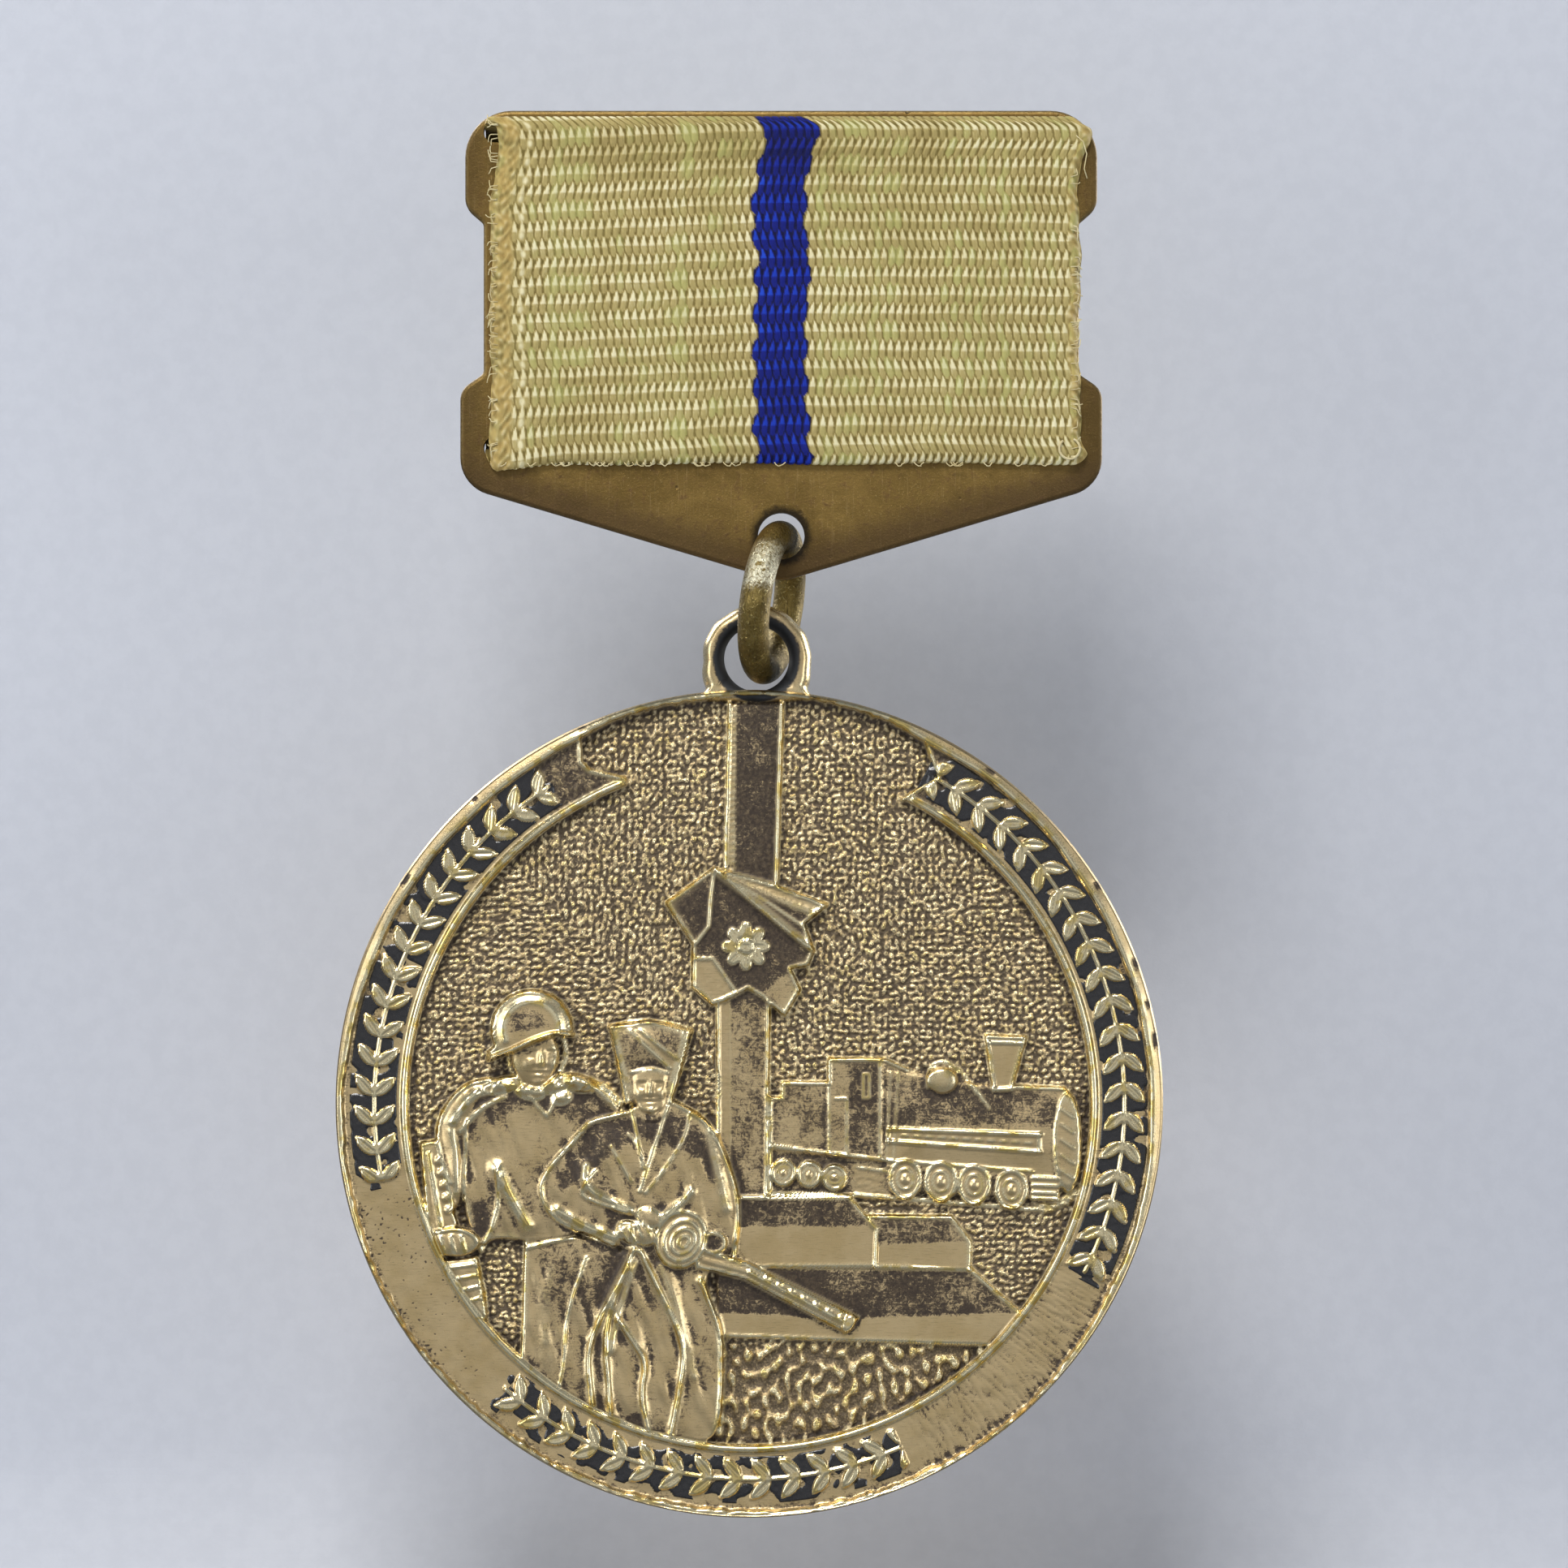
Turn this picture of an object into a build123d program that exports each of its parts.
"""A commemorative medal: a pentagonal brooch bar covered with silk ribbon, a link
ring, and a round relief medallion that hangs below it.

Millimetres. +Z is up as the medal is worn, -Y is the front, +X is the viewer's right.
The origin is the middle of the brooch needle, on its axis, behind the bar.
Heights named DROP_* are measured downwards from the top edge of the bar.
"""

from build123d import *
from math import cos, radians, sin
import os

# ---- driving dimensions ----
RIBBON_WIDTH = 24.0
RIBBON_THICK = 0.42
PLATE_THICK = 0.8
NEEDLE_DROP = 6.0            # needle axis below the top edge of the bar
NEEDLE_STANDOFF = 2.0        # needle axis behind the back face of the bar
NEEDLE_R = 0.4
DISC_R = 16.8
DISC_THICK = 2.4
OVERLAP = 0.1                # how far joined features reach into each other

# ---- brooch bar ----
EAR_HALF_WIDTH = 12.85       # upper pair of ears
WAIST_HALF_WIDTH = 12.1      # between the ears, where the ribbon covers the edge
JAW_HALF_WIDTH = 13.05       # lower pair of ears
DROP_EAR_END = 3.95
DROP_WAIST_TOP = 4.6
DROP_WAIST_END = 10.7
DROP_JAW_TOP = 11.35
DROP_JAW_END = 15.25
DROP_APEX = 19.15
EDGE_SOFTENING = 0.18
SLOT_HALF_LENGTH = 12.1
SLOT_HEIGHT = 0.88
DROP_TOP_SLOT = 0.42         # upper edge of the upper slot
DROP_LOW_SLOT = 13.27        # upper edge of the lower slot
LINK_HOLE_R = 0.95
DROP_LINK_HOLE = 17.3

# ---- ribbon ----
DROP_RIBBON_TOP = 0.36
DROP_RIBBON_END = 14.22
SLOT_PASS_HALF_WIDTH = 11.6  # the ribbon is gathered a little where it passes a slot
SLOT_PLAY = 0.06
DROP_UPPER_FLAP_END = 4.1
DROP_LOWER_FLAP_TOP = 8.4

# ---- pin finding on the back ----
STRIP_LENGTH = 21.0
STRIP_WIDTH = 3.2
STRIP_THICK = 0.4
HINGE_X = -8.5
CHEEK_GAP_HALF = 0.45        # half the gap between the two hinge cheeks
CHEEK_THICK = 0.4
CHEEK_R = 0.9
RIVET_R = 0.3
RIVET_HEAD_R = 0.52
RIVET_HEAD_THICK = 0.22
NEEDLE_EYE_R = 0.75
NEEDLE_EYE_HOLE_R = 0.35
NEEDLE_TIP_X = 9.9
NEEDLE_TAPER = 2.2
NEEDLE_TIP_R = 0.06
CATCH_X = 8.2                # middle of the fixed catch ring
CATCH_LENGTH = 2.0
CATCH_R = 1.35
CATCH_BORE_R = 1.02
CATCH_SLOT_HALF = 0.5
CATCH_FOOT_HALF = 0.7
SLEEVE_R = 0.97
SLEEVE_BORE_R = 0.52
SLEEVE_START_X = 6.9
SLEEVE_END_X = 9.75
LEVER_REACH = 1.9
LEVER_WIDTH = 0.5
LEVER_THICK = 0.42
LEVER_REST_DEG = -50.0       # from straight back towards straight up

# ---- link ring ----
RING_MAJOR_R = 2.72
RING_WIRE_R = 0.635
RING_YAW_DEG = -14.0         # the rear of the ring is turned towards the viewer's right
RING_LEAN_DEG = 8.0          # its lower end leans towards the viewer's left
RING_SPLIT_DEG = 2.5         # butt joint of the bent wire, at the rear

# ---- medallion ----
DISC_X = -1.29
SCENE_X = -1.0               # the eyelet and the scene are struck a little off the disc's centre
DROP_DISC_CENTRE = 40.35
DISC_EDGE_ROUNDING = 0.3
EYELET_RISE = 18.06          # eyelet centre above the disc centre
EYELET_R = 2.18
EYELET_HOLE_R = 1.35
EYELET_THICK = 1.8
EYELET_ROUNDING = 0.45
EYELET_ROOT = 1.0            # how far its neck reaches into the disc
EYELET_HOLE_ROUNDING = 0.3
FIELD_DEPTH = 0.62           # field floor below the top of the rim
BAND_DEPTH = 0.3             # band floor below the top of the rim
RIM_INNER_R = 16.3
LINE_OUTER_R = 14.22
LINE_INNER_R = 13.78
LINE_DEPTH = 0.12            # top of the raised line below the top of the rim
ENAMEL_INNER_R = 14.5
ENAMEL_OUTER_R = 16.1
ENAMEL_THICK = 0.2
BUILDING_RISE = 0.3          # stele and steps above the field floor
BANNER_RISE = 0.42           # banner and engine
FIGURE_RISE = 0.56
# arcs are clockwise degrees from straight up, as seen from the front
BAND_ARC = (24.5, 336.5)     # the band stops either side of the eyelet
ENAMEL_ARCS = {"enamel_right": (28, 118), "enamel_low": (155, 222), "enamel_left": (257, 329)}

# ---- planes of the layers along Y ----
PLATE_BACK_Y = -NEEDLE_STANDOFF
PLATE_MID_Y = PLATE_BACK_Y - PLATE_THICK / 2
PLATE_FRONT_Y = PLATE_BACK_Y - PLATE_THICK
DISC_BACK_Y = PLATE_MID_Y + DISC_THICK / 2
RIM_FRONT_Y = PLATE_MID_Y - DISC_THICK / 2
DISC_CENTRE_Z = NEEDLE_DROP - DROP_DISC_CENTRE
HOLE_Z = NEEDLE_DROP - DROP_LINK_HOLE
FIELD_Y = RIM_FRONT_Y + FIELD_DEPTH
BAND_Y = RIM_FRONT_Y + BAND_DEPTH
LINE_Y = RIM_FRONT_Y + LINE_DEPTH
EYELET_Z = DISC_CENTRE_Z + EYELET_RISE


def height(drop):
    """Height in the part's frame of a point this far below the bar's top edge."""
    return NEEDLE_DROP - drop


def slab(sketch, back_y, thick, x=0.0, z=0.0):
    """A sketch drawn as seen from the front, stood up at back_y and built forwards."""
    plane = Plane((x, back_y, z), x_dir=(1, 0, 0), z_dir=(0, -1, 0))
    return extrude(plane * sketch, amount=thick)


def rod_x(radius, start_x, end_x):
    """A round rod on the needle's axis."""
    plane = Plane((start_x, 0, 0), x_dir=(0, 1, 0), z_dir=(1, 0, 0))
    return extrude(plane * Circle(radius), amount=end_x - start_x)


def rod_z(radius, x, start_z, end_z):
    """A round rod standing upright through the needle's axis."""
    return extrude(Plane((x, 0, start_z)) * Circle(radius), amount=end_z - start_z)


def block(x_range, y_range, z_range):
    sizes = [high - low for low, high in (x_range, y_range, z_range)]
    middles = [(high + low) / 2 for low, high in (x_range, y_range, z_range)]
    return Pos(*middles) * Box(*sizes)


def arc_band(inner_r, outer_r, start_cw, end_cw):
    """Part of a flat ring, between two clockwise angles from straight up."""
    outer = CenterArc((0, 0), outer_r, 90 - start_cw, start_cw - end_cw)
    inner = CenterArc((0, 0), inner_r, 90 - start_cw, start_cw - end_cw)
    return make_face(Curve() + [outer, inner, Line(outer @ 0, inner @ 0), Line(outer @ 1, inner @ 1)])


def outline(*points):
    """A straight-sided closed outline."""
    return make_face(Polyline(*points, close=True))


# ---- brooch bar ----

def make_bar_plate():
    half = [
        (EAR_HALF_WIDTH, 0.0, 1.9),
        (EAR_HALF_WIDTH, DROP_EAR_END, 0.85),
        (WAIST_HALF_WIDTH, DROP_WAIST_TOP, 0.3),
        (WAIST_HALF_WIDTH, DROP_WAIST_END, 0.3),
        (JAW_HALF_WIDTH, DROP_JAW_TOP, 0.8),
        (JAW_HALF_WIDTH, DROP_JAW_END, 1.5),
    ]
    right = [((x, height(drop)), radius) for x, drop, radius in half]
    left = [((-x, height(drop)), radius) for x, drop, radius in reversed(half)]
    corners = right + [((0.0, height(DROP_APEX)), 1.6)] + left
    edge = FilletPolyline(*[point for point, _ in corners], radius=[r for _, r in corners], close=True)
    plate = slab(make_face(edge), PLATE_BACK_Y, PLATE_THICK)
    rims = plate.faces().filter_by(Axis.Y).edges()
    plate = fillet(rims, EDGE_SOFTENING)
    for drop in (DROP_TOP_SLOT, DROP_LOW_SLOT):
        slot = SlotOverall(2 * SLOT_HALF_LENGTH, SLOT_HEIGHT)
        plate -= slab(slot, PLATE_BACK_Y, PLATE_THICK, z=height(drop + SLOT_HEIGHT / 2))
    plate -= slab(Circle(LINK_HOLE_R), PLATE_BACK_Y, PLATE_THICK, z=HOLE_Z)
    return plate


def make_ribbon():
    """Front panel, two folds through the slots, and two short flaps glued behind."""
    back_y = PLATE_BACK_Y + RIBBON_THICK
    front_y = PLATE_FRONT_Y - RIBBON_THICK
    wide = (-RIBBON_WIDTH / 2, RIBBON_WIDTH / 2)
    narrow = (-SLOT_PASS_HALF_WIDTH, SLOT_PASS_HALF_WIDTH)
    upper_pass = height(DROP_TOP_SLOT + SLOT_PLAY)
    lower_pass = height(DROP_LOW_SLOT + SLOT_HEIGHT - SLOT_PLAY)
    ribbon = block(wide, (front_y, PLATE_FRONT_Y), (height(DROP_RIBBON_END), height(DROP_RIBBON_TOP)))
    ribbon += block(narrow, (front_y, back_y), (upper_pass - RIBBON_THICK, upper_pass))
    ribbon += block(narrow, (front_y, back_y), (lower_pass, lower_pass + RIBBON_THICK))
    ribbon += block(narrow, (PLATE_BACK_Y, back_y), (height(DROP_UPPER_FLAP_END), upper_pass))
    ribbon += block(narrow, (PLATE_BACK_Y, back_y), (lower_pass, height(DROP_LOWER_FLAP_TOP)))
    return ribbon


# ---- pin finding ----

def make_pin_base():
    """Soldered strip with two folded cheeks that carry the hinge rivet."""
    strip_top_y = PLATE_BACK_Y + STRIP_THICK
    strip = slab(SlotOverall(STRIP_LENGTH, STRIP_WIDTH), strip_top_y, STRIP_THICK)
    for side in (-1, 1):
        inner = side * CHEEK_GAP_HALF
        outer = side * (CHEEK_GAP_HALF + CHEEK_THICK)
        low, high = sorted((inner, outer))
        cheek = block((HINGE_X - CHEEK_R, HINGE_X + CHEEK_R), (PLATE_BACK_Y, 0), (low, high))
        strip += cheek + rod_z(CHEEK_R, HINGE_X, low, high)
    return strip - rod_z(RIVET_R, HINGE_X, -STRIP_WIDTH, STRIP_WIDTH)


def make_hinge_rivet():
    reach = CHEEK_GAP_HALF + CHEEK_THICK
    rivet = rod_z(RIVET_R, HINGE_X, -reach, reach)
    for side in (-1, 1):
        low, high = sorted((side * reach, side * (reach + RIVET_HEAD_THICK)))
        rivet += rod_z(RIVET_HEAD_R, HINGE_X, low, high)
    return rivet


def make_pin_needle():
    """Flattened eye round the rivet, a straight shaft and a sharpened tip."""
    eye = rod_z(NEEDLE_EYE_R, HINGE_X, -NEEDLE_R, NEEDLE_R)
    shaft_end = NEEDLE_TIP_X - NEEDLE_TAPER
    needle = eye + rod_x(NEEDLE_R, HINGE_X, shaft_end)
    tip = Cone(NEEDLE_R, NEEDLE_TIP_R, NEEDLE_TAPER, rotation=(0, 90, 0))
    needle += Pos(shaft_end + NEEDLE_TAPER / 2, 0, 0) * tip
    return needle - rod_z(NEEDLE_EYE_HOLE_R, HINGE_X, -2 * NEEDLE_R, 2 * NEEDLE_R)


def make_catch_housing():
    """Fixed open ring that holds the turning sleeve; its mouth faces backwards."""
    start_x, end_x = CATCH_X - CATCH_LENGTH / 2, CATCH_X + CATCH_LENGTH / 2
    foot_y = (PLATE_BACK_Y + STRIP_THICK, -CATCH_BORE_R - OVERLAP)
    foot = block((start_x, end_x), foot_y, (-CATCH_FOOT_HALF, CATCH_FOOT_HALF))
    housing = rod_x(CATCH_R, start_x, end_x) + foot
    housing -= rod_x(CATCH_BORE_R, start_x, end_x)
    mouth = block((start_x, end_x), (0, CATCH_R), (-CATCH_SLOT_HALF, CATCH_SLOT_HALF))
    return housing - mouth


def make_catch_sleeve():
    """Slotted tube with a lever; turning it closes the mouth over the needle."""
    sleeve = rod_x(SLEEVE_R, SLEEVE_START_X, SLEEVE_END_X)
    lever_x = (SLEEVE_END_X - LEVER_THICK, SLEEVE_END_X)
    lever_y = (SLEEVE_R - 2 * OVERLAP, LEVER_REACH)
    lever = block(lever_x, lever_y, (-LEVER_WIDTH / 2, LEVER_WIDTH / 2))
    sleeve += Rot(LEVER_REST_DEG, 0, 0) * lever
    sleeve -= rod_x(SLEEVE_BORE_R, SLEEVE_START_X, SLEEVE_END_X)
    mouth = block((SLEEVE_START_X, SLEEVE_END_X), (0, SLEEVE_R), (-CATCH_SLOT_HALF, CATCH_SLOT_HALF))
    return sleeve - mouth


# ---- link ring ----

def make_link_ring():
    """Bent wire through the bar's hole and the eyelet, edge-on to the viewer."""
    wire = Plane((RING_MAJOR_R, 0, 0), x_dir=(1, 0, 0), z_dir=(0, 1, 0)) * Circle(RING_WIRE_R)
    ring = revolve(wire, Axis.Z, 360 - RING_SPLIT_DEG)
    ring = Rot(0, 0, RING_SPLIT_DEG / 2) * ring
    ring = Rot(0, 90, 0) * (Rot(0, 0, 90) * ring)
    ring = Rot(0, 0, RING_YAW_DEG) * ring
    hang = Pos(0, PLATE_MID_Y, HOLE_Z) * Rot(0, RING_LEAN_DEG, 0) * Pos(0, 0, -RING_MAJOR_R)
    return hang * ring


# ---- medallion ----

def on_disc(sketch, back_y, thick):
    """A sketch drawn about the disc's centre."""
    return slab(sketch, back_y, thick, DISC_X, DISC_CENTRE_Z)


def in_scene(sketch, rise):
    """A plateau drawn about the scene's axis, from just under the field floor up to its rise."""
    return slab(sketch, FIELD_Y + OVERLAP, rise + OVERLAP, SCENE_X, DISC_CENTRE_Z)


def make_stele_and_steps():
    stele_top = RIM_INNER_R - 0.3
    stele = outline((-1.3, -4.0), (0.5, -4.0), (1.0, stele_top), (-1.0, stele_top))
    upper_step = outline((-1.0, -6.7), (4.8, -6.7), (4.8, -5.1), (3.8, -3.9), (-1.0, -3.9))
    middle_step = outline((4.8, -6.7), (8.7, -6.7), (8.7, -5.5), (7.9, -4.6), (4.8, -4.6))
    lower_step = outline((-1.0, -9.6), (9.2, -9.6), (10.1, -8.6), (8.7, -6.7), (-1.0, -6.7))
    return [stele, upper_step, middle_step, lower_step]


def make_banner_and_engine():
    banner = outline((-1.8, 9.6), (2.9, 8.2), (2.1, 5.0), (1.2, 3.6), (-2.0, 4.0), (-2.6, 6.5), (-3.7, 8.2))
    cab = outline((2.8, -3.65), (5.3, -3.75), (5.3, 1.8), (2.8, 1.8))
    tender = outline((0.9, -3.6), (2.9, -3.7), (2.9, 0.8), (0.9, 0.8))
    boiler = outline((5.2, -3.8), (12.6, -4.1), (12.6, 0.6), (9.6, 0.7), (5.2, 1.6))
    chimney = outline((9.6, 0.2), (10.4, 0.2), (10.9, 2.7), (9.3, 2.7))
    return [banner, tender, cab, boiler, chimney]


def make_figures():
    rifleman = outline((-12.3, -1.5), (-10.9, 1.0), (-10.6, 3.8), (-9.0, 4.6), (-7.4, 3.6), (-7.3, 1.0),
                       (-5.7, -0.4), (-8.7, -4.0), (-7.8, -10.6), (-9.4, -9.7), (-12.4, -5.5))
    partisan = outline((-8.8, -3.0), (-5.3, -0.2), (-6.0, 3.2), (-2.6, 3.2), (-3.3, 0.0), (-1.2, -2.0),
                       (-0.6, -6.0), (-1.5, -13.2), (-6.9, -11.7))
    return [rifleman, partisan]


def make_medallion():
    """Struck disc with rim, raised line, band, low relief and an integral eyelet."""
    disc = on_disc(Circle(DISC_R), DISC_BACK_Y, DISC_THICK)
    disc = fillet(disc.edges().filter_by(GeomType.CIRCLE), DISC_EDGE_ROUNDING)
    disc -= on_disc(Circle(RIM_INNER_R), FIELD_Y, FIELD_DEPTH)
    band = arc_band(LINE_OUTER_R - OVERLAP, RIM_INNER_R + OVERLAP, *BAND_ARC)
    disc += on_disc(band, FIELD_Y + OVERLAP, FIELD_Y + OVERLAP - BAND_Y)
    line = arc_band(LINE_INNER_R, LINE_OUTER_R, *BAND_ARC)
    disc += on_disc(line, FIELD_Y + OVERLAP, FIELD_Y + OVERLAP - LINE_Y)
    for shape in make_stele_and_steps():
        disc += in_scene(shape, BUILDING_RISE)
    for shape in make_banner_and_engine():
        disc += in_scene(shape, BANNER_RISE)
    for shape in make_figures():
        disc += in_scene(shape, FIGURE_RISE)
    for start_cw, end_cw in ENAMEL_ARCS.values():
        recess = arc_band(ENAMEL_INNER_R, ENAMEL_OUTER_R, start_cw, end_cw)
        disc -= on_disc(recess, BAND_Y + ENAMEL_THICK, ENAMEL_THICK)
    return disc + make_eyelet()


def make_eyelet():
    """Round-edged loop on a short neck that grows out of the disc's edge."""
    back_y = PLATE_MID_Y + EYELET_THICK / 2
    neck_height = EYELET_RISE - DISC_R + EYELET_ROOT
    shape = Circle(EYELET_R) + Pos(0, -neck_height / 2) * Rectangle(2 * EYELET_R, neck_height)
    loop = slab(shape, back_y, EYELET_THICK, SCENE_X, EYELET_Z)
    loop = fillet(loop.faces().filter_by(Axis.Y).edges(), EYELET_ROUNDING)
    loop -= slab(Circle(EYELET_HOLE_R), back_y, EYELET_THICK, SCENE_X, EYELET_Z)
    circles = loop.edges().filter_by(GeomType.CIRCLE)
    hole_rims = [edge for edge in circles if edge.radius < EYELET_HOLE_R + OVERLAP]
    return fillet(hole_rims, EYELET_HOLE_ROUNDING)


def make_enamel(start_cw, end_cw):
    """Black enamel that fills one recess of the band."""
    arc = arc_band(ENAMEL_INNER_R, ENAMEL_OUTER_R, start_cw, end_cw)
    return on_disc(arc, BAND_Y + ENAMEL_THICK, ENAMEL_THICK)


def build_nodes():
    nodes = {
        "bar_plate": make_bar_plate(),
        "ribbon": make_ribbon(),
        "pin_base": make_pin_base(),
        "hinge_rivet": make_hinge_rivet(),
        "pin_needle": make_pin_needle(),
        "catch_housing": make_catch_housing(),
        "catch_sleeve": make_catch_sleeve(),
        "link_ring": make_link_ring(),
        "medallion": make_medallion(),
    }
    for name, (start_cw, end_cw) in ENAMEL_ARCS.items():
        nodes[name] = make_enamel(start_cw, end_cw)
    return nodes


def main():
    os.makedirs("parts", exist_ok=True)
    for name, solid in build_nodes().items():
        solid.label = name
        export_step(solid, f"parts/{name}.step")
    lean = radians(RING_LEAN_DEG)
    low_wire = (-2 * RING_MAJOR_R * sin(lean), PLATE_MID_Y, HOLE_Z - 2 * RING_MAJOR_R * cos(lean))
    print("ring pivot in the bar", (0.0, PLATE_MID_Y, round(HOLE_Z, 3)))
    print("ring's lower wire", tuple(round(value, 3) for value in low_wire))
    print("disc centre", (DISC_X, DISC_BACK_Y, round(DISC_CENTRE_Z, 3)))


main()
